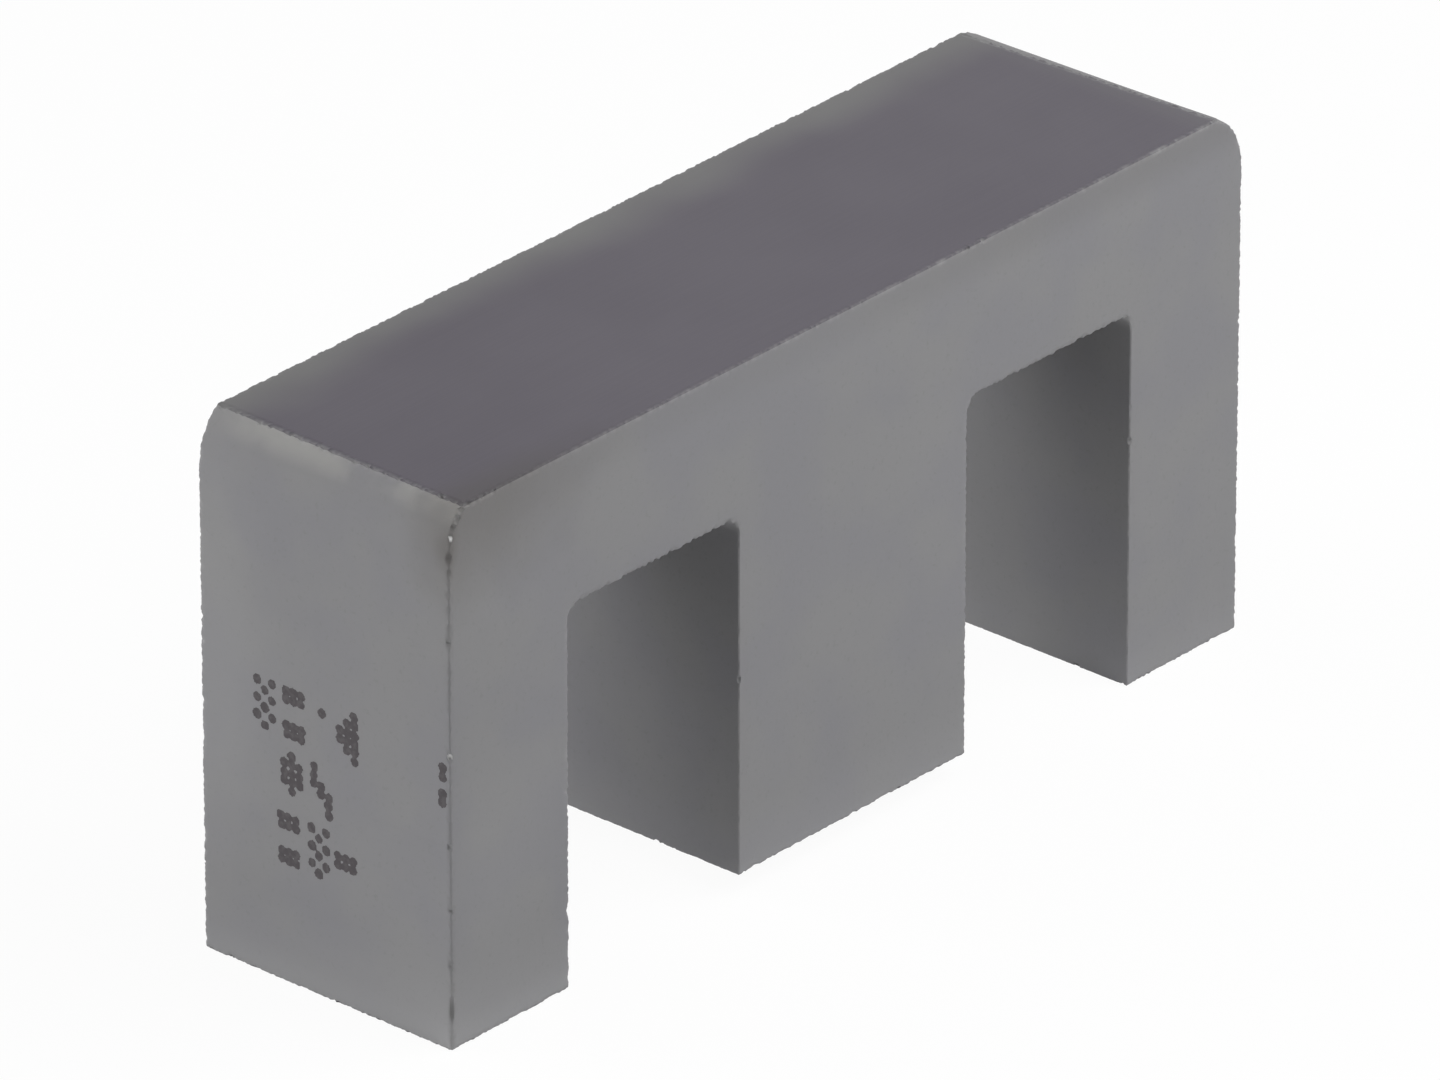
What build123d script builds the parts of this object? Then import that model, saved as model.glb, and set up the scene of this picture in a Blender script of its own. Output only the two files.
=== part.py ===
"""Ferrite E core half with an air gap, for a transformer or a choke.

The core is one solid: an E pressed from ferrite powder, sintered, and ground where it mates.
Sizes are in millimetres. X runs along the core, Y through its depth, and Z from the ends of the
outer legs up to the back. The origin lies midway between the outer legs, level with their ends.
"""

import os

from build123d import *

# The E: two outer legs, a centre leg, the two winding windows between them, and the back
outer_leg_width = 3.7
centre_leg_width = 7.4
window_width = 5.4
outer_leg_length = 9.0
back_thickness = 3.6
core_depth = 7.0

# Rounding in the root of each leg, where it runs into the back
root_radius = 0.4

# How far the end of the centre leg stays below the mating faces of the outer legs
air_gap = 0.5

# Rounding of the back corners as pressed, before the back is ground
back_corner_radius = 1.5

# Depth ground off the pressed back at its two front corners, and how much less at the rear,
# because the back as pressed is not quite parallel to the mating faces
ground_off_left = 0.42
ground_off_right = 0.12
ground_off_less_at_rear = 0.10

core_length = 2 * outer_leg_width + 2 * window_width + centre_leg_width
core_height = outer_leg_length + back_thickness
window_offset = (centre_leg_width + window_width) / 2

# Higher than the back as pressed, which is cut from it
uncut_height = core_height + back_corner_radius

# Three corners of the back as pressed, and the plane through them
left_front_corner = Vector(-core_length / 2, -core_depth / 2, core_height + ground_off_left)
right_front_corner = Vector(core_length / 2, -core_depth / 2, core_height + ground_off_right)
left_rear_corner = left_front_corner + Vector(0, core_depth, -ground_off_less_at_rear)
along_the_back = right_front_corner - left_front_corner
across_the_back = left_rear_corner - left_front_corner
pressed_back = Plane(
    origin=left_front_corner,
    x_dir=along_the_back,
    z_dir=along_the_back.cross(across_the_back),
)


with BuildPart() as e_core:
    # The E seen from the front, extruded both ways from its middle plane
    with BuildSketch(Plane.XZ) as profile:
        Rectangle(core_length, uncut_height, align=(Align.CENTER, Align.MIN))
        with Locations((-window_offset, 0), (window_offset, 0)):
            Rectangle(
                window_width,
                outer_leg_length,
                align=(Align.CENTER, Align.MIN),
                mode=Mode.SUBTRACT,
            )
        window_tops = profile.edges().filter_by_position(Axis.Y, outer_leg_length, outer_leg_length)
        fillet(window_tops.vertices(), radius=root_radius)
    extrude(amount=core_depth / 2, both=True)

    # The back as pressed, with its corners rounded at both ends
    split(bisect_by=pressed_back, keep=Keep.BOTTOM)
    back_edges = e_core.faces().sort_by(Axis.Z)[-1].edges().sort_by(Axis.X)
    fillet([back_edges[0], back_edges[-1]], radius=back_corner_radius)

    # Grinding the back flat leaves a sharp edge where it cuts each rounded corner
    split(bisect_by=Plane.XY.offset(core_height), keep=Keep.BOTTOM)

    # Grinding the centre leg short leaves the air gap
    Box(
        centre_leg_width,
        core_depth,
        air_gap,
        align=(Align.CENTER, Align.CENTER, Align.MIN),
        mode=Mode.SUBTRACT,
    )

e_core.part.label = "e_core"

os.makedirs("parts", exist_ok=True)
export_step(e_core.part, "parts/e_core.step")
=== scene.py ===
"""Dresses one half of a gapped ferrite E core and lights it in a plain studio.

The core is pressed from ferrite powder, sintered, and ground where it mates, so it has two
finishes: the dull skin left by the press and the darker one left by the grinding wheel. Its edges
crumble a little, which is modelled in the mesh, and a generic ink-jet print stands on its left end.

X runs along the core, Y through its depth towards the rear, and Z from the ends of the outer legs
up to the back. Sizes are in millimetres, and MM turns them into metres.
"""

import logging
import math
import random
from collections.abc import Mapping, Sequence
from dataclasses import dataclass
from enum import Enum
from itertools import pairwise

import bmesh
import bpy
from bmesh.types import BMEdge, BMesh, BMFace, BMVert
from mathutils import Matrix, Vector, kdtree, noise


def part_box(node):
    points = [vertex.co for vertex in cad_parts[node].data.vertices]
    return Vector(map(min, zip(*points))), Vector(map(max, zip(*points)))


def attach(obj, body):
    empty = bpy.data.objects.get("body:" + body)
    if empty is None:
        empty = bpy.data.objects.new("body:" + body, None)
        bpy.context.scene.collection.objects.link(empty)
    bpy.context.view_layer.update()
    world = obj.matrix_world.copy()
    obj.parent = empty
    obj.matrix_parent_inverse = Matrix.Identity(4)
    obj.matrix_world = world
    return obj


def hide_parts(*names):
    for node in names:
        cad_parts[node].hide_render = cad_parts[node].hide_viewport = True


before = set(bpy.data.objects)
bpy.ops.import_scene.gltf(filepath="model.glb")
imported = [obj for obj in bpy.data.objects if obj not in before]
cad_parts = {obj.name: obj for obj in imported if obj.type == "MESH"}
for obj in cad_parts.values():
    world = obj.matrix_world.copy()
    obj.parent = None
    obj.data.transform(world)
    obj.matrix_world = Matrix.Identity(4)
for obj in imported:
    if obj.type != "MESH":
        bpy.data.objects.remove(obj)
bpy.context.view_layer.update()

MM = 0.001
CORE_NODE = "e_core"
BODY = "root"

# Lengths in millimetres that differ by less than this are the same
SAME = 1e-4

# A shader's noise runs from 0 to 1 and lies about evenly on both sides of this
NOISE_MIDDLE = 0.5

# The mesh attributes that say how much of the skin is worn away, and how bright a highlight is
# painted on a fresh chip, from 0 to 1
WEAR = "wear"
PAINTED_GLINT = "painted_glint"

log = logging.getLogger("ferrite_core")


class Skin(Enum):
    """The two finishes of the core, by their place in its list of materials."""

    PRESSED = 0
    GROUND = 1


class Side(Enum):
    """The front and rear faces of the core, by their direction on Y."""

    FRONT = -1
    REAR = 1


class End(Enum):
    """The left and right ends of the core, by their direction on X."""

    LEFT = -1
    RIGHT = 1


@dataclass(frozen=True)
class Fade:
    """A smooth rise from nothing to a full amount, between two numbers in either order."""

    none_at: float
    full_at: float
    full: float = 1.0


@dataclass(frozen=True)
class Value:
    """A number that a shader works out. Python's operators on it add the Math nodes."""

    bench: "NodeBench"
    socket: bpy.types.NodeSocket

    def _math(self, operation: str, *operands: object) -> "Value":
        """Adds one Math node.

        Args:
            operation: The node's operation.
            operands: Its inputs in order, as numbers or values.

        Returns:
            The node's result.
        """
        return self.bench.node("ShaderNodeMath", {"operation": operation}, dict(enumerate(operands)))

    def __add__(self, other: object) -> "Value":
        """The sum."""
        return self._math("ADD", self, other)

    def __radd__(self, other: object) -> "Value":
        """The sum, with the number first."""
        return self._math("ADD", other, self)

    def __sub__(self, other: object) -> "Value":
        """The difference."""
        return self._math("SUBTRACT", self, other)

    def __rsub__(self, other: object) -> "Value":
        """The difference, with the number first."""
        return self._math("SUBTRACT", other, self)

    def __mul__(self, other: object) -> "Value":
        """The product."""
        return self._math("MULTIPLY", self, other)

    def __rmul__(self, other: object) -> "Value":
        """The product, with the number first."""
        return self._math("MULTIPLY", other, self)

    def __abs__(self) -> "Value":
        """The number without its sign."""
        return self._math("ABSOLUTE", self)

    def fade(self, fade: Fade) -> "Value":
        """Rises smoothly as this value passes through a fade.

        Args:
            fade: Where the rise starts and ends, and how far it goes.

        Returns:
            A number from 0 to the full amount of the fade.
        """
        settings = {"interpolation_type": "SMOOTHSTEP", "clamp": True}
        inputs = {
            "Value": self,
            "From Min": fade.none_at,
            "From Max": fade.full_at,
            "To Min": 0.0,
            "To Max": fade.full,
        }
        return self.bench.node("ShaderNodeMapRange", settings, inputs)


Colour = tuple[float, float, float, float]
Triple = tuple[float, float, float]

# The places of the sockets that a Mix node uses when it mixes colours
MIX_AMOUNT, MIX_FIRST, MIX_SECOND = 0, 6, 7
MIX_RESULT = 2


def grey(red: float, green: float, blue: float) -> Colour:
    """A colour with full alpha."""
    return (red, green, blue, 1.0)


def even(number: float) -> Triple:
    """The same number along all three axes."""
    return (number, number, number)


class NodeBench:
    """Adds the nodes of one material or world and wires them together."""

    def __init__(self, owner: bpy.types.Material | bpy.types.World) -> None:
        """Starts with an empty node tree.

        Args:
            owner: The material or world that the nodes belong to.
        """
        owner.use_nodes = True
        self.owner = owner
        self.tree = owner.node_tree
        self.tree.nodes.clear()

    def add(
        self, kind: str, settings: Mapping[str, object], inputs: Mapping[str | int, object]
    ) -> bpy.types.Node:
        """Adds a node.

        Args:
            kind: The node's type.
            settings: Its own settings, such as an operation, which are set first.
            inputs: Numbers, colours, vectors or values for its sockets, by name or place.

        Returns:
            The node.
        """
        made = self.tree.nodes.new(kind)
        for name, setting in settings.items():
            setattr(made, name, setting)
        for name, given in inputs.items():
            if isinstance(given, Value):
                self.tree.links.new(given.socket, made.inputs[name])
            else:
                made.inputs[name].default_value = given
        return made

    def node(
        self,
        kind: str,
        settings: Mapping[str, object],
        inputs: Mapping[str | int, object],
        output: str | int = 0,
    ) -> Value:
        """Adds a node for one of its outputs.

        Args:
            kind: The node's type.
            settings: Its own settings.
            inputs: What its sockets take.
            output: The name or place of the output that is wanted.

        Returns:
            That output, as a value.
        """
        return Value(self, self.add(kind, settings, inputs).outputs[output])

    def place(self, unit: Triple = even(1.0), shift: Triple = even(0.0)) -> Value:
        """Reads the place on the piece.

        Args:
            unit: The length along each axis that counts as one, in millimetres.
            shift: How far the place is shifted, in those units.

        Returns:
            The place.
        """
        here = self.node("ShaderNodeTexCoord", {}, {}, "Object")
        inputs = {"Vector": here, "Location": shift, "Scale": [1 / (MM * length) for length in unit]}
        return self.node("ShaderNodeMapping", {"vector_type": "POINT"}, inputs)

    def along(self, axis: str) -> Value:
        """The place on the piece along one axis, in millimetres."""
        return self.node("ShaderNodeSeparateXYZ", {}, {"Vector": self.place()}, axis)

    def attribute(self, name: str) -> Value:
        """A number that the mesh carries."""
        return self.node("ShaderNodeAttribute", {"attribute_name": name}, {}, "Fac")

    def noise(
        self, lumps: Triple, detail: float = 2.0, roughness: float = 0.5, shift: Triple = even(0.0)
    ) -> Value:
        """Adds a noise pattern.

        Args:
            lumps: The size of its lumps along each axis, in millimetres.
            detail: How many finer layers it has.
            roughness: How strong those layers are.
            shift: How far the pattern is shifted, in lumps.

        Returns:
            A number from 0 to 1, mostly near one half.
        """
        inputs = {"Vector": self.place(lumps, shift), "Scale": 1.0, "Detail": detail}
        settings = {"noise_dimensions": "3D"}
        return self.node("ShaderNodeTexNoise", settings, inputs | {"Roughness": roughness})

    def mix(self, amount: Value | float, first: object, second: object) -> Value:
        """Mixes two colours.

        Args:
            amount: How much of the second colour there is, from 0 to 1.
            first: The colour at 0.
            second: The colour at 1.

        Returns:
            The mixed colour.
        """
        settings = {"data_type": "RGBA", "clamp_factor": True}
        inputs = {MIX_AMOUNT: amount, MIX_FIRST: first, MIX_SECOND: second}
        return self.node("ShaderNodeMix", settings, inputs, MIX_RESULT)

    def bump(self, height_mm: Value) -> Value:
        """Turns a height in millimetres into a normal."""
        return self.node("ShaderNodeBump", {}, {"Height": height_mm, "Distance": MM, "Strength": 1.0})

    def surface(self, shader: Value) -> None:
        """Puts the shader on the surface of the material, or round the world."""
        owner = "World" if isinstance(self.owner, bpy.types.World) else "Material"
        self.add(f"ShaderNodeOutput{owner}", {}, {"Surface": shader})

    def principled(self, inputs: Mapping[str | int, object]) -> None:
        """Puts a Principled shader on the surface, given what its sockets take."""
        self.surface(self.node("ShaderNodeBsdfPrincipled", {}, inputs))


@dataclass(frozen=True)
class PaintedPatch:
    """A patch of painted light or shade, strongest at its middle and fading out unevenly."""

    colour: Colour
    middle: Triple
    reach: Triple
    strength: float
    full_within: float = 0.2
    gone_beyond: float = 1.1
    unevenness: float = 0.4
    patches: Triple = even(1.1)

    def lay_on(self, bench: NodeBench, colour: Value) -> Value:
        """Lays the patch over a colour.

        Args:
            bench: The nodes of the material.
            colour: The clean colour.

        Returns:
            The colour with the patch on it.
        """
        middle = [middle / reach for middle, reach in zip(self.middle, self.reach)]
        inputs = {0: bench.place(self.reach), 1: middle}
        away = bench.node("ShaderNodeVectorMath", {"operation": "DISTANCE"}, inputs, "Value")
        away = away + self.unevenness * (bench.noise(self.patches) - NOISE_MIDDLE)
        amount = away.fade(Fade(self.gone_beyond, self.full_within, self.strength))
        return bench.mix(amount, colour, self.colour)


@dataclass(frozen=True)
class PressedSkin:
    """The dull skin of ferrite as pressed and sintered, with faint clouds and a fine grain.

    Painted light from the floor below makes its lower ends paler, a band under the back is darker,
    and the rounded left corner of the back is lighter in patches. Each fade runs along X, Y or Z, or
    through a pattern.
    """

    colour: Colour = grey(0.225, 0.2235, 0.236)
    cloud_colour: Colour = grey(0.236, 0.2345, 0.239)
    speck_colour: Colour = grey(0.205, 0.204, 0.207)
    # The colour of the painted light from the floor below
    painted_uplight_colour: Colour = grey(0.330, 0.329, 0.337)
    shaded_colour: Colour = grey(0.180, 0.176, 0.178)
    paler_patch_colour: Colour = grey(0.290, 0.287, 0.280)
    worn_colour: Colour = grey(0.26, 0.26, 0.26)
    # The painted highlight of fresh chips
    painted_glint_colour: Colour = grey(0.85, 0.85, 0.85)
    # A painted shadow at the near top corner, painted shade down the near edge by its chips and in the
    # nick at its foot, and two faint patches of painted light, each with its colour, middle, reach and
    # strength
    painted_patches: tuple[PaintedPatch, ...] = (
        # Painted shadow at the near top corner
        PaintedPatch(grey(0.142, 0.134, 0.124), (-12.8, -3.5, 12.6), (6.0, 1.6, 2.8), 0.5),
        # Painted shade in the nicks down the near edge and at its foot
        PaintedPatch(grey(0.120, 0.112, 0.106), (-12.8, -3.5, 11.75), (0.35, 0.5, 0.8), 0.45),
        PaintedPatch(grey(0.090, 0.084, 0.081), (-12.8, -3.5, 11.50), (0.14, 0.14, 0.17), 0.5),
        PaintedPatch(grey(0.060, 0.057, 0.055), (-12.8, -3.5, 0.95), (0.11, 0.11, 0.36), 0.65),
        # Painted light at the rear of the left end and on the front near the left end
        PaintedPatch(grey(0.310, 0.309, 0.311), (-12.8, 3.5, 7.0), (2.0, 2.4, 6.5), 0.35),
        PaintedPatch(grey(0.310, 0.309, 0.311), (-11.0, -3.5, 4.3), (2.4, 0.6, 3.0), 0.2),
    )
    roughness: float = 0.62
    roughness_range: float = 0.12
    gloss: float = 0.3

    clouds: Triple = even(2.6)
    cloudy: Fade = Fade(0.35, 0.65)
    detail: float = 3.0
    grain: Triple = even(0.11)
    grain_roughness: float = 0.6
    grain_height: float = 0.0022
    specks: Fade = Fade(0.58, 0.72, 0.5)

    # Painted light from the floor below: paler towards the ends of the legs, and less on the right leg
    uplight_by_height: Fade = Fade(2.2, 0.2, 0.3)
    uplight_at_foot: Fade = Fade(0.9, 0.1, 0.3)
    uplight_lost_to_right: Fade = Fade(6.5, 10.0, 0.6)

    shade_by_height: Fade = Fade(11.4, 12.4)
    shade_at_left: float = 0.25
    shade_more_to_right: Fade = Fade(-2.0, 7.0, 0.26)

    paler_at_left: Fade = Fade(-11.1, -11.5)
    paler_between_faces: Fade = Fade(3.49, 3.45)
    paler_by_height: Fade = Fade(12.05, 12.48)
    paler_lost_to_rear: Fade = Fade(4.2, 1.8)
    paler_patches: Triple = even(1.3)
    paler_shift: Triple = (43.5, 0.0, 0.0)
    paler_patchy: Fade = Fade(0.34, 0.60)

    def _paler_share(self, bench: NodeBench) -> Value:
        """Says how much the rounded left corner of the back is paler, in patches.

        Args:
            bench: The nodes of the material.

        Returns:
            The share of the paler colour.
        """
        across = bench.along("Y")
        at_left = bench.along("X").fade(self.paler_at_left)
        corner = at_left * bench.along("Z").fade(self.paler_by_height)
        corner = corner * abs(across).fade(self.paler_between_faces) * across.fade(self.paler_lost_to_rear)
        return corner * bench.noise(self.paler_patches, shift=self.paler_shift).fade(self.paler_patchy)

    def material(self) -> bpy.types.Material:
        """Makes the material.

        Returns:
            The material.
        """
        made = bpy.data.materials.new("pressed_ferrite")
        bench = NodeBench(made)
        x, z = bench.along("X"), bench.along("Z")
        grain = bench.noise(self.grain, self.detail, self.grain_roughness)
        cloud = bench.noise(self.clouds, self.detail).fade(self.cloudy)
        colour = bench.mix(cloud, self.colour, self.cloud_colour)
        colour = bench.mix(grain.fade(self.specks), colour, self.speck_colour)
        # Painted light from the floor below
        uplight = z.fade(self.uplight_by_height) + z.fade(self.uplight_at_foot)
        uplight = uplight * (1 - x.fade(self.uplight_lost_to_right))
        colour = bench.mix(uplight, colour, self.painted_uplight_colour)
        shade = z.fade(self.shade_by_height) * (self.shade_at_left + x.fade(self.shade_more_to_right))
        colour = bench.mix(shade, colour, self.shaded_colour)
        colour = bench.mix(self._paler_share(bench), colour, self.paler_patch_colour)
        colour = bench.mix(bench.attribute(WEAR), colour, self.worn_colour)
        for painted_patch in self.painted_patches:
            colour = painted_patch.lay_on(bench, colour)
        inputs = {
            "Base Color": bench.mix(bench.attribute(PAINTED_GLINT), colour, self.painted_glint_colour),
            "Roughness": self.roughness + self.roughness_range * grain,
            "Specular IOR Level": self.gloss,
            "Normal": bench.bump(self.grain_height * grain),
        }
        bench.principled(inputs)
        return made


@dataclass(frozen=True)
class GroundSkin:
    """The darker skin left by the grinding wheel, with fine lines along the core.

    Towards the rear edge of the back it is paler, with an uneven border, and a little paler at the
    right end, all painted sheen. A painted shadow darkens it at the near top corner.
    """

    colour: Colour = grey(0.0693, 0.0623, 0.0776)
    line_colour: Colour = grey(0.0843, 0.0768, 0.0926)
    painted_sheen_colour: Colour = grey(0.136, 0.136, 0.134)
    worn_colour: Colour = grey(0.24, 0.24, 0.24)
    # A painted shadow at the near top corner
    painted_patch: PaintedPatch = PaintedPatch(grey(0.052, 0.047, 0.048), (-12.8, -3.5, 12.6), (6.0, 1.1, 2.8), 0.65)
    roughness: float = 0.50
    roughness_range: float = 0.12
    gloss: float = 0.3

    clouds: Triple = even(3.5)
    cloudy: Fade = Fade(0.3, 0.7, 0.5)
    lines: Triple = (4.0, 0.05, 0.05)
    lined: Fade = Fade(0.35, 0.65, 0.5)
    line_roughness: float = 0.6
    line_depth: float = 0.0006
    rim: Fade = Fade(1.9, 3.9)
    sheen_unevenness: float = 1.5
    sheen_at_right: Fade = Fade(10.9, 11.8, 0.22)

    def material(self) -> bpy.types.Material:
        """Makes the material.

        Returns:
            The material.
        """
        made = bpy.data.materials.new("ground_ferrite")
        bench = NodeBench(made)
        cloud = bench.noise(self.clouds)
        lines = bench.noise(self.lines, roughness=self.line_roughness)
        amount = cloud.fade(self.cloudy) + lines.fade(self.lined)
        colour = bench.mix(amount, self.colour, self.line_colour)
        # Painted sheen towards the rear edge of the back and at the right end
        to_rear = bench.along("Y") + self.sheen_unevenness * (cloud - NOISE_MIDDLE)
        colour = bench.mix(to_rear.fade(self.rim), colour, self.painted_sheen_colour)
        colour = bench.mix(bench.along("X").fade(self.sheen_at_right), colour, self.painted_sheen_colour)
        colour = bench.mix(bench.attribute(WEAR), colour, self.worn_colour)
        inputs = {
            "Base Color": self.painted_patch.lay_on(bench, colour),
            "Roughness": self.roughness + self.roughness_range * lines,
            "Specular IOR Level": self.gloss,
            "Normal": bench.bump(self.line_depth * lines),
        }
        bench.principled(inputs)
        return made


@dataclass(frozen=True)
class PrintInk:
    """Dark brown ink-jet ink, thinner in places."""

    colour: Colour = grey(0.056, 0.049, 0.054)
    thin_colour: Colour = grey(0.082, 0.075, 0.079)
    roughness: float = 0.55
    gloss: float = 0.3
    patches: Triple = even(0.12)
    thin: Fade = Fade(0.4, 0.7)

    def material(self) -> bpy.types.Material:
        """Makes the material.

        Returns:
            The material.
        """
        made = bpy.data.materials.new("print_ink")
        bench = NodeBench(made)
        thin = bench.noise(self.patches).fade(self.thin)
        inputs = {
            "Base Color": bench.mix(thin, self.colour, self.thin_colour),
            "Roughness": self.roughness,
            "Specular IOR Level": self.gloss,
        }
        bench.principled(inputs)
        return made


@dataclass(frozen=True)
class Chip:
    """A small piece broken from an edge, which leaves a hollow with the form of an ellipsoid."""

    centre: Vector
    half_size: Vector
    inward: Vector
    painted_glint: float = 0.0

    def push(self, place: Vector) -> Vector:
        """Moves a point that is inside the hollow down to its floor.

        Args:
            place: A point of the core.

        Returns:
            The point on the floor of the hollow, or the point as it was.
        """
        start = Vector(o / h for o, h in zip(place - self.centre, self.half_size))
        step = Vector(i / h for i, h in zip(self.inward, self.half_size))
        height = start.dot(start) - 1
        if height >= 0:
            return place
        slope = start.dot(step)
        squared = step.dot(step)
        travel = (math.sqrt(slope * slope - squared * height) - slope) / squared
        return place + self.inward * travel


@dataclass(frozen=True)
class EdgeWear:
    """How the edges of a pressed and ground ferrite core crumble, in millimetres."""

    serration: float = 0.026
    serration_length: float = 0.09
    serration_middle: float = 0.5
    nibble: float = 0.05
    nibble_length: float = 0.30
    nibble_from: float = 0.22
    reach: float = 0.045
    worn_depth: float = 0.08
    front_of_back: float = 1.35
    ends_of_back: float = 2.2
    window_top: float = 2.0
    window_right: float = 0.35

    def depth(self, place: Vector, from_edge: float) -> float:
        """How deep the surface lies under the form as pressed and ground.

        Args:
            place: The point on that form.
            from_edge: Its distance from the nearest broken edge.

        Returns:
            The depth.
        """
        fine = self.serration_middle + noise.noise(place / self.serration_length)
        coarse = noise.noise(place / self.nibble_length)
        nibbled = max(0.0, coarse - self.nibble_from)
        full = self.serration * max(0.0, fine) + self.nibble * nibbled
        return full * math.exp(-((from_edge / self.reach) ** 2))


@dataclass
class FerriteCore:
    """The core itself: one pressed, sintered and ground piece, dressed in place of its solid."""

    outer_leg_width: float = 3.7
    centre_leg_width: float = 7.4
    window_width: float = 5.4
    outer_leg_length: float = 9.0
    back_thickness: float = 3.6
    depth: float = 7.0
    root_radius: float = 0.4
    air_gap: float = 0.5
    back_corner_radius: float = 1.5
    ground_off_left: float = 0.42
    ground_off_right: float = 0.12
    ground_off_less_at_rear: float = 0.10

    back_facet: float = 0.2
    root_facets: int = 12
    edge_break: float = 0.025
    band_steps: tuple[float, ...] = (0.03, 0.04, 0.06)
    band_pitch: float = 0.045
    # Edges that turn more than the first angle are broken, and shading stays sharp past the
    # second, and flat on faces of more than so many square millimetres
    crease: float = math.radians(24)
    sharp: float = math.radians(35)
    smallest_flat_face: float = 2.0
    chip_spacing: float = 2.8
    chip_size: tuple[float, float] = (0.025, 0.055)
    chip_stretch: tuple[float, float] = (0.8, 1.7)
    painted_glint_reach: float = 0.07
    seed: int = 25
    # The chips that show on the near vertical edge: how far off it to the right, how high, half
    # the size of the hollow, and how bright a highlight is painted in it
    large_chips: tuple[tuple[float, float, Triple, float], ...] = (
        (0.27, 12.35, (0.10, 0.09, 0.11), 0.15),
        (0.05, 11.98, (0.10, 0.10, 0.09), 1.0),
        (0.00, 11.55, (0.08, 0.08, 0.13), 0.0),
        (0.00, 11.20, (0.07, 0.07, 0.09), 0.0),
        (0.00, 6.90, (0.09, 0.10, 0.10), 0.65),
        (0.00, 2.00, (0.07, 0.08, 0.10), 0.0),
        (0.00, 1.01, (0.07, 0.06, 0.34), 0.0),
    )

    wear: EdgeWear = EdgeWear()

    @property
    def length(self) -> float:
        """The whole length of the core."""
        return 2 * self.outer_leg_width + 2 * self.window_width + self.centre_leg_width

    @property
    def window_outside(self) -> float:
        """How far the outer walls of the windows are from the middle of the core."""
        return self.length / 2 - self.outer_leg_width

    @property
    def height(self) -> float:
        """The height from the ends of the outer legs to the back."""
        return self.outer_leg_length + self.back_thickness

    def _compare_with_solid(self) -> None:
        """Stops the script if the solid in the frame isn't as large as this core."""
        low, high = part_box(CORE_NODE)
        size = Vector((self.length, self.depth, self.height))
        if ((high - low) / MM - size).length > self.edge_break:
            raise ValueError(f"the solid measures {(high - low) / MM}, and this core {size}")

    def _pressed_height(self, x: float, y: float) -> float:
        """Works out the height of the back as pressed, before it is ground.

        Args:
            x: The place along the core.
            y: The place through its depth.

        Returns:
            The height there.
        """
        along = x / self.length + 0.5
        across = y / self.depth + 0.5
        ground_off = self.ground_off_left + (self.ground_off_right - self.ground_off_left) * along
        return self.height + ground_off - self.ground_off_less_at_rear * across

    def _back_corner(self, bm: BMesh, end: End, side: Side) -> tuple[BMVert, BMVert]:
        """Draws the rounded corner of the back on one face, up to where grinding cut it.

        Args:
            bm: The mesh that takes it.
            end: The end that the corner is at.
            side: The face that it is drawn on.

        Returns:
            Its lower end, on the end of the core, and its upper end, on the ground back.
        """
        radius = self.back_corner_radius
        x = end.value * (self.length / 2 - radius)
        y = side.value * self.depth / 2
        centre = Vector((x, y, self._pressed_height(x, y) - radius))
        middle = self._pressed_height(x, 0) - radius
        angle = math.asin((self.height - centre.z) / radius)
        facets = round(radius * math.asin((self.height - middle) / radius) / self.back_facet)
        lower = bm.verts.new(centre + Vector((end.value * radius, 0, 0)))
        spun = bmesh.ops.spin(
            bm,
            geom=[lower],
            cent=centre,
            axis=(0, 1, 0),
            dvec=(0, 0, 0),
            angle=-end.value * angle,
            steps=facets,
            use_merge=False,
            use_duplicate=False,
        )
        upper = next(part for part in spun["geom_last"] if isinstance(part, BMVert))
        return lower, upper

    def _draw_face(self, bm: BMesh, side: Side) -> None:
        """Draws the E on the front or rear face and fills it.

        Args:
            bm: The mesh that takes it.
            side: Which face it is.
        """
        y = side.value * self.depth / 2
        right_half = [
            (self.length / 2, 0.0),
            (self.window_outside, 0.0),
            (self.window_outside, self.outer_leg_length),
            (self.centre_leg_width / 2, self.outer_leg_length),
            (self.centre_leg_width / 2, self.air_gap),
        ]
        left_half = [(-x, z) for x, z in reversed(right_half)]
        legs = [bm.verts.new((x, y, z)) for x, z in right_half + left_half]
        left_lower, left_upper = self._back_corner(bm, End.LEFT, side)
        right_lower, right_upper = self._back_corner(bm, End.RIGHT, side)
        bm.edges.new((left_upper, right_upper))
        for start, stop in pairwise([right_lower, *legs, left_lower]):
            bm.edges.new((start, stop))
        outline = [e for e in bm.edges if all(abs(v.co.y - y) < SAME for v in e.verts)]
        bmesh.ops.contextual_create(bm, geom=outline)
        roots = [v for v in legs if abs(v.co.z - self.outer_leg_length) < SAME]
        bmesh.ops.bevel(
            bm,
            geom=roots,
            offset=self.root_radius,
            offset_type="OFFSET",
            segments=self.root_facets,
            profile=0.5,
            affect="VERTICES",
            material=-1,
            clamp_overlap=False,
        )

    def _close(self, bm: BMesh) -> None:
        """Joins the front and rear faces through the depth of the core.

        Args:
            bm: The mesh with the two faces.
        """
        rims = [e for e in bm.edges if e.is_boundary]
        bmesh.ops.bridge_loops(bm, edges=rims)
        bmesh.ops.recalc_face_normals(bm, faces=bm.faces)

    def _mark_ground_faces(self, bm: BMesh) -> None:
        """Gives the back and the ends of the legs the ground finish.

        Args:
            bm: The closed core.
        """
        for face in bm.faces:
            heights = [v.co.z for v in face.verts]
            is_level = max(heights) - min(heights) < SAME
            is_at_end = min(heights) > self.height - SAME or max(heights) < self.air_gap + SAME
            if is_level and is_at_end:
                face.material_index = Skin.GROUND.value

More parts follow.
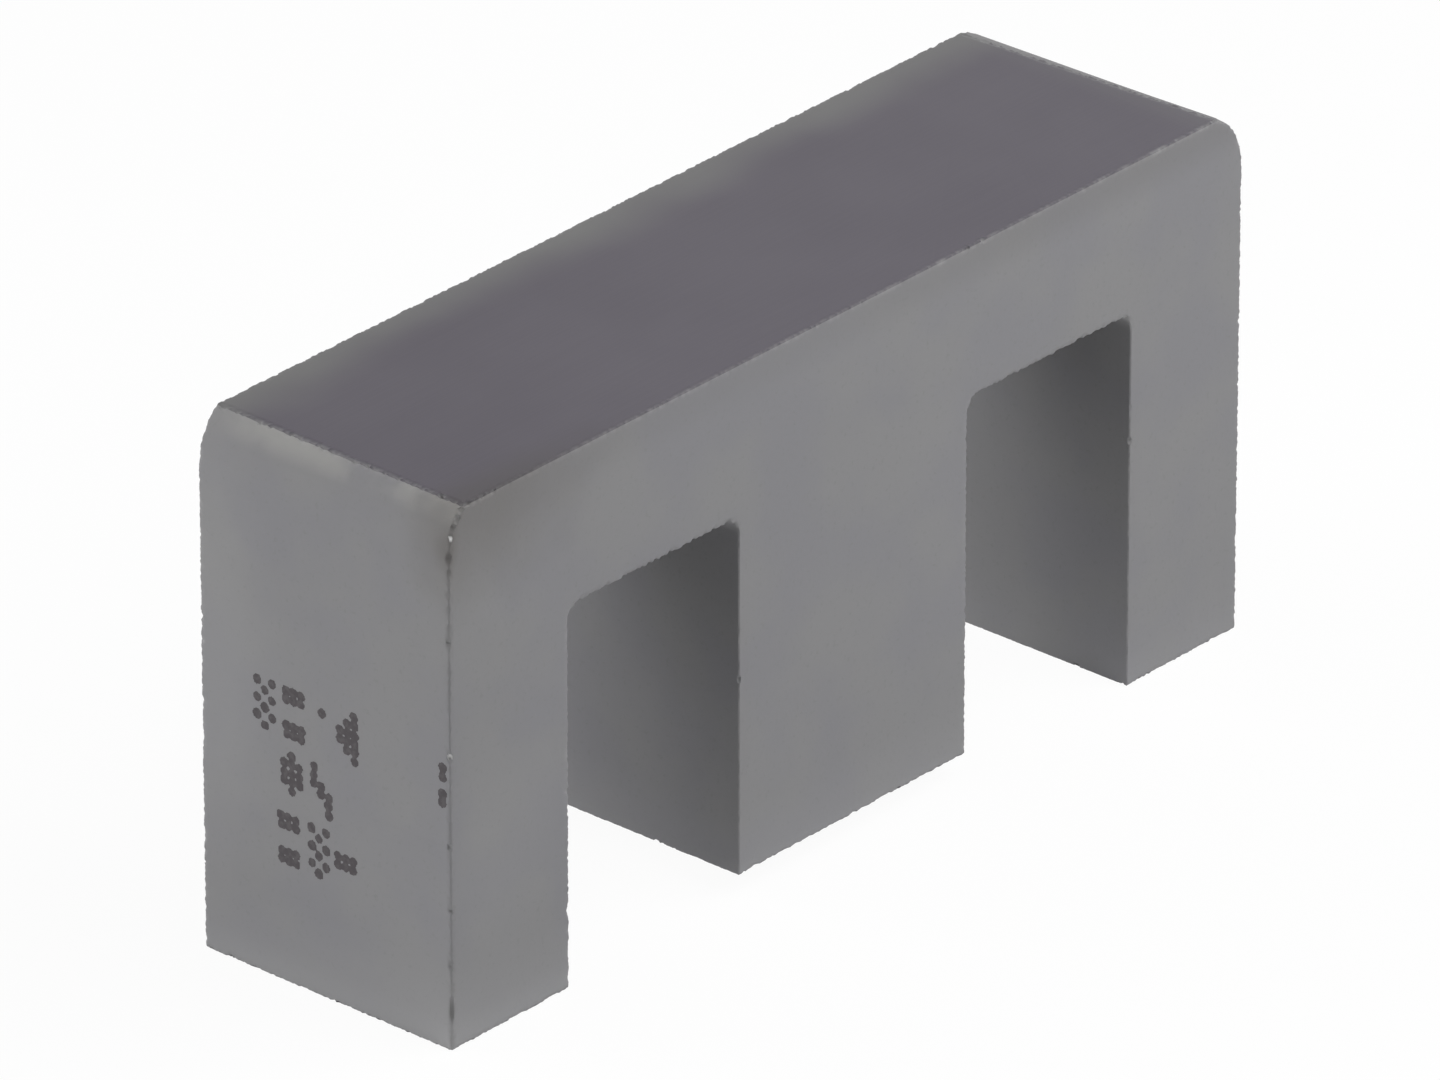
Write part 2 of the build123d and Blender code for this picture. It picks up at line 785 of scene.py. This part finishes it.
    def _is_edge(self, edge: BMEdge) -> bool:
        """Says whether an edge is one where wear can start.

        Args:
            edge: An edge of the core.

        Returns:
            True if it is sharp or parts the two finishes.
        """
        first, second = edge.link_faces
        changes_skin = first.material_index != second.material_index
        return changes_skin or edge.calc_face_angle() > self.crease

    def _break_edges(self, bm: BMesh) -> list[BMFace]:
        """Breaks every edge of the core to a narrow flat, which is ground where it meets grinding.

        Args:
            bm: The sharp-edged core.

        Returns:
            The faces of the flats.
        """
        broken = bmesh.ops.bevel(
            bm,
            geom=[e for e in bm.edges if self._is_edge(e)],
            offset=self.edge_break,
            offset_type="OFFSET",
            segments=1,
            profile=0.5,
            affect="EDGES",
            material=-1,
            clamp_overlap=False,
        )["faces"]
        flats = set(broken)
        for flat in flats:
            beside = {f.material_index for e in flat.edges for f in e.link_faces if f not in flats}
            is_ground = Skin.GROUND.value in beside
            flat.material_index = (Skin.GROUND if is_ground else Skin.PRESSED).value
        return broken

    def _regions(self, bm: BMesh, flats: Sequence[BMFace]) -> list[list[BMFace]]:
        """Groups the faces that run smoothly into each other, apart from the flats.

        Args:
            bm: The core with its edges broken.
            flats: The faces of the broken edges.

        Returns:
            The groups, always in the same order.
        """
        taken = set(flats)
        regions = []
        for first in bm.faces:
            if first in taken:
                continue
            # A dict keeps its order, so that the chips fall in the same places each time
            region = {first: None}
            waiting = [first]
            while waiting:
                face = waiting.pop()
                beyond = [f for edge in face.edges for f in edge.link_faces]
                fresh = [f for f in beyond if f not in taken and f not in region]
                region.update(dict.fromkeys(fresh))
                waiting.extend(fresh)
            taken.update(region)
            regions.append(list(region))
        return regions

    def _columns(self, flats: Sequence[BMFace]) -> list[list[BMEdge]]:
        """Finds the edges that run side by side along each flat and across both its bands.

        Args:
            flats: The faces of the broken edges.

        Returns:
            One list of edges for each flat, without those at the corners of the core.
        """
        known = set(flats)
        columns = []
        for flat in flats:
            sides = [e for e in flat.edges if not known.issuperset(e.link_faces)]
            if not sides:
                continue
            column = list(sides)
            for edge in sides:
                face = flat
                for _ in self.band_steps:
                    face = next(f for f in edge.link_faces if f is not face)
                    loop = next(corner for corner in face.loops if corner.edge is edge)
                    edge = loop.link_loop_next.link_loop_next.edge
                    column.append(edge)
            columns.append(column)
        return columns

    def _band(self, bm: BMesh, flats: Sequence[BMFace]) -> bmesh.types.BMLayerItem:
        """Lays bands of small faces along every broken edge, for the wear to shape.

        Args:
            bm: The core with its edges broken.
            flats: The faces of the broken edges.

        Returns:
            A layer that holds each vertex's distance from the nearest flat.
        """
        from_edge = bm.verts.layers.float.new("from_edge")
        for region in self._regions(bm, flats):
            distance = 0.0
            for step in self.band_steps:
                ring = bmesh.ops.inset_region(
                    bm,
                    faces=region,
                    use_boundary=True,
                    use_even_offset=True,
                    use_interpolate=True,
                    thickness=step,
                    depth=0,
                )["faces"]
                distance += step
                inner = {v for f in region for v in f.verts}
                for vertex in inner.intersection(v for f in ring for v in f.verts):
                    vertex[from_edge] = distance
        for rungs in self._columns(flats):
            cuts = round(rungs[0].calc_length() / self.band_pitch) - 1
            if cuts > 0:
                bmesh.ops.subdivide_edges(bm, edges=rungs, cuts=cuts, use_grid_fill=False)
        for face in bm.faces:
            face.smooth = face.calc_area() < self.smallest_flat_face
        return from_edge

    def _chips(self, edge: Sequence[tuple[Vector, Vector]]) -> list[Chip]:
        """Places the chips, those that show most first and then small ones at random.

        Args:
            edge: Points along all the broken edges, evenly spaced, each with the way in from it.

        Returns:
            The chips.
        """
        corner = Vector((-self.length / 2, -self.depth / 2, 0))
        inward = Vector((1, 1, 0)).normalized()
        chips = [
            Chip(corner + Vector((off_edge, 0, height)), Vector(half_size), inward, painted_glint)
            for off_edge, height, half_size, painted_glint in self.large_chips
        ]
        draw = random.Random(self.seed)
        both_borders = len(edge) * self.band_pitch
        count = round(both_borders / 2 / self.chip_spacing)
        for place, way_in in draw.sample(list(edge), count):
            size = draw.uniform(*self.chip_size)
            half = Vector(size * draw.uniform(*self.chip_stretch) for _ in range(3))
            chips.append(Chip(place, half, way_in))
        return chips

    def _share_of_wear(self, place: Vector) -> float:
        """How much an edge crumbles at a place, against the usual.

        Args:
            place: A point on the edge or close to it.

        Returns:
            The share.
        """
        near = sum(self.band_steps)
        if place.z > self.height - near:
            is_at_end = abs(place.x) > self.length / 2 - self.back_corner_radius
            if is_at_end and place.y < self.depth / 2 - near:
                return self.wear.ends_of_back
            return self.wear.front_of_back if place.y < 0 else 1.0
        window_inside = self.centre_leg_width / 2
        if not window_inside - near < abs(place.x) < self.window_outside + near:
            return 1.0
        from_right = min(abs(place.x + window_inside), abs(place.x - self.window_outside))
        at_side = self.wear.window_right if from_right < near + self.root_radius else 1.0
        up = (place.z - self.outer_leg_length) / self.root_radius + 1
        at_top = min(1.0, max(0.0, up))
        return at_side + (self.wear.window_top - at_side) * at_top

    def _ways_in(self, band: Sequence[BMVert], from_edge: bmesh.types.BMLayerItem) -> list[Vector]:
        """Finds the way straight into the core from the nearest broken edge.

        Args:
            band: The vertices on the edges and in the bands beside them.
            from_edge: The layer with each vertex's distance from the nearest flat.

        Returns:
            The way in for each vertex.
        """
        on_edge = [v for v in band if v[from_edge] < SAME]
        known = set(on_edge)
        tree = kdtree.KDTree(len(on_edge))
        inward = []
        for index, vertex in enumerate(on_edge):
            flats = [f.normal for f in vertex.link_faces if known.issuperset(f.verts)]
            inward.append(-sum(flats, Vector()).normalized())
            tree.insert(vertex.co, index)
        tree.balance()
        return [inward[tree.find(vertex.co)[1]] for vertex in band]

    def _wear_down(self, bm: BMesh, from_edge: bmesh.types.BMLayerItem) -> None:
        """Crumbles the edges.

        Args:
            bm: The core with its bands.
            from_edge: The layer with each vertex's distance from the nearest flat.
        """
        worn = bm.verts.layers.float.new(WEAR)
        painted_glint_layer = bm.verts.layers.float.new(PAINTED_GLINT)
        reach = sum(self.band_steps)
        band = [v for v in bm.verts if v[from_edge] < reach - SAME]
        bm.normal_update()
        ways = self._ways_in(band, from_edge)
        places = []
        for vertex, way in zip(band, ways):
            depth = self.wear.depth(vertex.co, vertex[from_edge]) * self._share_of_wear(vertex.co)
            places.append(vertex.co + way * depth)
        near = kdtree.KDTree(len(places))
        for index, place in enumerate(places):
            near.insert(place, index)
        near.balance()
        edge = [(v.co.copy(), way) for v, way in zip(band, ways) if v[from_edge] < SAME]
        for chip in self._chips(edge):
            for _, index, far in near.find_range(chip.centre, max(chip.half_size)):
                places[index] = chip.push(places[index])
                # Vertices near a chip's middle take its painted highlight
                if far < self.painted_glint_reach:
                    band[index][painted_glint_layer] = chip.painted_glint
        for vertex, place in zip(band, places):
            vertex[worn] = min(1.0, (place - vertex.co).length / self.wear.worn_depth)
            vertex.co = place
        bm.verts.layers.float.remove(from_edge)

    def dress(self, skins: Mapping[Skin, bpy.types.Material]) -> bpy.types.Object:
        """Builds the core and puts it in place of its solid.

        Args:
            skins: The material of each finish.

        Returns:
            The finished piece.
        """
        self._compare_with_solid()
        bm = bmesh.new()
        for side in Side:
            self._draw_face(bm, side)
        self._close(bm)
        self._mark_ground_faces(bm)
        log.info("core: %.1f cubic mm before wear", bm.calc_volume())
        self._wear_down(bm, self._band(bm, self._break_edges(bm)))
        bmesh.ops.scale(bm, vec=(MM, MM, MM), verts=bm.verts)
        piece = piece_from(bm, "worn_core", [skins[skin] for skin in Skin])
        piece.data.set_sharp_from_angle(angle=self.sharp)
        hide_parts(CORE_NODE)
        return piece


class Shape(Enum):
    """The forms of the marks, which are plain patterns and not letters or figures."""

    LATTICE = ("# #", " # ", "# #", " # ", "# #", " # ")
    BARS = ("###", "###", "   ", "   ", "###", "###")
    WEDGE = ("  #", " ##", "###", "###", " ##", "  #")
    LOZENGE = (" # ", "###", "###", "###", " # ", "   ")
    STEPS = ("#  ", "#  ", "## ", " ##", "  #", "  #")
    SPECK = ("   ", " # ", "   ", "   ", "   ", "   ")
    STROKE = ("   ", "   ", "###", "###", "   ", "   ")
    DASHES = ("   ", " # ", " # ", "   ", " # ", " # ")


@dataclass(frozen=True)
class InkPrint:
    """A generic ink-jet print on the left end: small marks of run-together drops in three rows."""

    end_x: float
    drop: float = 0.25
    pitch: float = 0.205
    jitter: float = 0.012
    drop_range: tuple[float, float] = (0.92, 1.08)
    cell: float = 0.03
    ragged: float = 0.012
    ragged_length: float = 0.06
    proud: float = 0.002
    thickness: float = 0.012
    smoothings: int = 2
    smoothing: float = 0.5
    seed: int = 7
    marks: tuple[tuple[Shape, float, float], ...] = (
        (Shape.LATTICE, 1.70, 6.42),
        (Shape.BARS, 0.88, 6.42),
        (Shape.SPECK, 0.08, 6.42),
        (Shape.WEDGE, -0.62, 6.42),
        (Shape.DASHES, -3.28, 6.31),
        (Shape.LOZENGE, 0.95, 4.90),
        (Shape.STEPS, 0.12, 4.90),
        (Shape.BARS, 1.05, 3.42),
        (Shape.LATTICE, 0.20, 3.42),
        (Shape.STROKE, -0.55, 3.42),
    )

    def build(self, ink: bpy.types.Material) -> bpy.types.Object:
        """Prints the marks.

        Args:
            ink: The ink's material.

        Returns:
            The finished piece.
        """
        bm = bmesh.new()
        draw = random.Random(self.seed)
        for shape, across, height in self.marks:
            drops = self._drops(shape, across, height, draw)
            self._soak(bm, drops)
        bmesh.ops.solidify(bm, geom=bm.faces, thickness=self.thickness)
        bmesh.ops.recalc_face_normals(bm, faces=bm.faces)
        bmesh.ops.scale(bm, vec=(MM, MM, MM), verts=bm.verts)
        return piece_from(bm, "ink_print", [ink])

    def _drops(
        self, shape: Shape, across: float, height: float, draw: random.Random
    ) -> list[tuple[Vector, float]]:
        """Places the drops of one mark.

        Args:
            shape: The mark's form.
            across: Where its middle is on Y.
            height: How high its middle is.
            draw: The source of chance.

        Returns:
            The middle of each drop, and its radius.
        """
        drops = []
        for row, line in enumerate(shape.value):
            for column, drop in enumerate(line):
                if drop == " ":
                    continue
                y = across - (column - (len(line) - 1) / 2) * self.pitch
                z = height - (row - (len(shape.value) - 1) / 2) * self.pitch
                off = Vector((0, draw.uniform(-1, 1), draw.uniform(-1, 1))) * self.jitter
                radius = draw.uniform(*self.drop_range) * self.drop / 2
                drops.append((Vector((self.end_x - self.proud, y, z)) + off, radius))
        return drops

    def _soak(self, bm: BMesh, drops: Sequence[tuple[Vector, float]]) -> None:
        """Lets the drops run together, as a sheet cut from a fine grid.

        Args:
            bm: The mesh that takes the sheet.
            drops: The middle and radius of each drop.
        """
        middle = sum((place for place, _ in drops), Vector()) / len(drops)
        reach = max((place - middle).length for place, _ in drops) + self.drop
        cells = math.ceil(2 * reach / self.cell)
        turn = Matrix.Translation(middle) @ Matrix.Rotation(-math.pi / 2, 4, "Y")
        grid = bmesh.ops.create_grid(bm, x_segments=cells, y_segments=cells, size=reach, matrix=turn)
        sheet = dict.fromkeys(f for v in grid["verts"] for f in v.link_faces)
        dry = [f for f in sheet if not self._is_wet(f.calc_center_median(), drops)]
        bmesh.ops.delete(bm, geom=dry, context="FACES")
        rim = [v for v in grid["verts"] if v.is_valid and v.is_boundary]
        # Faces that touch others only at a corner would leave the sheet pinched there
        pinched = [v.link_faces[0] for v in rim if len(v.link_faces) < len(v.link_edges) - 1]
        bmesh.ops.delete(bm, geom=list(dict.fromkeys(pinched)), context="FACES")
        rim = [v for v in rim if v.is_valid and v.is_boundary]
        for _ in range(self.smoothings):
            bmesh.ops.smooth_vert(
                bm, verts=rim, factor=self.smoothing, use_axis_y=True, use_axis_z=True
            )

    def _is_wet(self, place: Vector, drops: Sequence[tuple[Vector, float]]) -> bool:
        """Says whether ink reaches a point.

        Args:
            place: The point.
            drops: The middle and radius of each drop.

        Returns:
            True if it is wet.
        """
        ragged = self.ragged * noise.noise(place / self.ragged_length)
        return any((place - middle).length < radius + ragged for middle, radius in drops)


def piece_from(bm: BMesh, name: str, materials: Sequence[bpy.types.Material]) -> bpy.types.Object:
    """Turns a mesh into a piece that rides on the core's body.

    Args:
        bm: The finished mesh, which is freed.
        name: The piece's name.
        materials: Its materials, in order.

    Returns:
        The piece.
    """
    mesh = bpy.data.meshes.new(name)
    bm.to_mesh(mesh)
    bm.free()
    for material in materials:
        mesh.materials.append(material)
    piece = bpy.data.objects.new(name, mesh)
    bpy.context.scene.collection.objects.link(piece)
    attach(piece, BODY)
    return piece


@dataclass(frozen=True)
class PhotoCamera:
    """The camera of the photograph, as fitted to the core's edges, in millimetres and degrees."""

    azimuth: float = 311.063
    elevation: float = 27.028
    roll: float = -0.030
    distance: float = 386.552
    aim: Triple = (0.0, 0.0, 6.3)
    aside: float = 0.1924
    below: float = -0.3663
    lens: float = 454.19
    sensor: float = 36.0
    nearest: float = 10.0
    furthest: float = 10000.0

    def place(self) -> None:
        """Makes the camera and looks through it."""
        azimuth = math.radians(self.azimuth)
        elevation = math.radians(self.elevation)
        level = Vector((-math.sin(azimuth), math.cos(azimuth), 0)) * math.cos(elevation)
        forward = level - Vector((0, 0, math.sin(elevation)))
        right = forward.cross(Vector((0, 0, 1))).normalized()
        turn = Matrix.Rotation(math.radians(self.roll), 3, forward)
        right = turn @ right
        up = right.cross(forward)
        offset = self.aside * right - self.below * up + self.distance * forward
        data = bpy.data.cameras.new("photo_camera")
        data.lens = self.lens
        data.sensor_width = self.sensor
        data.clip_start = self.nearest * MM
        data.clip_end = self.furthest * MM
        camera = bpy.data.objects.new("photo_camera", data)
        axes = Matrix((right, up, -forward)).transposed()
        camera.matrix_world = Matrix.Translation((Vector(self.aim) - offset) * MM) @ axes.to_4x4()
        bpy.context.scene.collection.objects.link(camera)
        bpy.context.scene.camera = camera


@dataclass(frozen=True)
class Softbox:
    """A lamp with a soft, even face, turned towards the core, in millimetres and degrees."""

    name: str
    azimuth: float
    elevation: float
    width: float
    height: float
    brightness: float
    distance: float = 220.0

    def hang(self, aim: Vector) -> None:
        """Puts the lamp up.

        Args:
            aim: The point that it faces, in millimetres.
        """
        azimuth = math.radians(self.azimuth)
        elevation = math.radians(self.elevation)
        level = Vector((math.cos(azimuth), math.sin(azimuth), 0)) * math.cos(elevation)
        towards_lamp = level + Vector((0, 0, math.sin(elevation)))
        data = bpy.data.lights.new(self.name, "AREA")
        data.shape = "RECTANGLE"
        data.size = self.width * MM
        data.size_y = self.height * MM
        data.energy = self.brightness * math.pi * data.size * data.size_y
        lamp = bpy.data.objects.new(self.name, data)
        lamp.rotation_mode = "QUATERNION"
        lamp.rotation_quaternion = towards_lamp.to_track_quat("Z", "Y")
        lamp.location = (aim + towards_lamp * self.distance) * MM
        bpy.context.scene.collection.objects.link(lamp)


@dataclass(frozen=True)
class Studio:
    """A pale floor in even light, with soft lamps round it."""

    white: Colour = grey(1.0, 1.0, 1.0)
    floor_colour: Colour = grey(0.90, 0.90, 0.90)
    floor_reach: float = 3000.0
    white_share: float = 0.95
    lamps: tuple[Softbox, ...] = (
        Softbox("high_right_softbox", 300, 55, 90, 90, 4.1, 100),
        Softbox("rear_left_softbox", 120, 28, 160, 120, 3.7),
        Softbox("left_softbox", 150, 9, 150, 70, 5.9),
        Softbox("low_right_softbox", 300, 9, 150, 70, 2.1),
        Softbox("rear_right_softbox", 30, 28, 150, 110, 0.4),
    )

    def _seen_directly(self, bench: NodeBench) -> Value:
        """Says whether a ray comes from the camera, straight or by way of a gloss or glass.

        Args:
            bench: The nodes of the material or world.

        Returns:
            1 for such a ray, and 0 for others.
        """
        kinds = ("Is Camera Ray", "Is Glossy Ray", "Is Transmission Ray")
        straight, glossy, through = (bench.node("ShaderNodeLightPath", {}, {}, kind) for kind in kinds)
        return (straight + glossy + through).fade(Fade(0.0, 1.0))

    def _lay_floor(self) -> None:
        """Lays the floor, which is white to the camera and keeps the core's shadow."""
        bm = bmesh.new()
        bmesh.ops.create_grid(bm, x_segments=1, y_segments=1, size=self.floor_reach * MM)
        mesh = bpy.data.meshes.new("floor")
        bm.to_mesh(mesh)
        bm.free()
        finish = bpy.data.materials.new("floor_paper")
        bench = NodeBench(finish)
        paper = bench.node("ShaderNodeBsdfDiffuse", {}, {"Color": self.floor_colour})
        white = bench.node("ShaderNodeEmission", {}, {"Color": self.white, "Strength": 1.0})
        seen = self._seen_directly(bench) * self.white_share
        bench.surface(bench.node("ShaderNodeMixShader", {}, {0: seen, 1: paper, 2: white}))
        mesh.materials.append(finish)
        floor = bpy.data.objects.new("floor", mesh)
        bpy.context.scene.collection.objects.link(floor)

    def _fill_air(self) -> None:
        """Makes the air of the studio white to the camera, with no light of its own."""
        world = bpy.data.worlds.new("studio_air")
        bpy.context.scene.world = world
        bench = NodeBench(world)
        inputs = {"Color": self.white, "Strength": self._seen_directly(bench)}
        bench.surface(bench.node("ShaderNodeBackground", {}, inputs))

    def set_up(self, aim: Vector) -> None:
        """Sets up the floor, the air and the lamps.

        Args:
            aim: The point that the lamps face, in millimetres.
        """
        self._lay_floor()
        self._fill_air()
        for lamp in self.lamps:
            lamp.hang(aim)
        bpy.context.scene.view_settings.view_transform = "Standard"


def report(piece: bpy.types.Object) -> None:
    """Logs a finished piece with its number of triangles.

    Args:
        piece: The piece.
    """
    mesh = piece.data
    mesh.calc_loop_triangles()
    log.info("%s: %d triangles", piece.name, len(mesh.loop_triangles))


def main() -> None:
    """Builds the core, its print, the camera and the studio."""
    logging.basicConfig(level=logging.INFO, format="%(name)s %(message)s")
    camera = PhotoCamera()
    camera.place()
    core = FerriteCore()
    skins = {Skin.PRESSED: PressedSkin().material(), Skin.GROUND: GroundSkin().material()}
    report(core.dress(skins))
    report(InkPrint(-core.length / 2).build(PrintInk().material()))
    Studio().set_up(Vector(camera.aim))


if __name__ == "__main__":
    main()
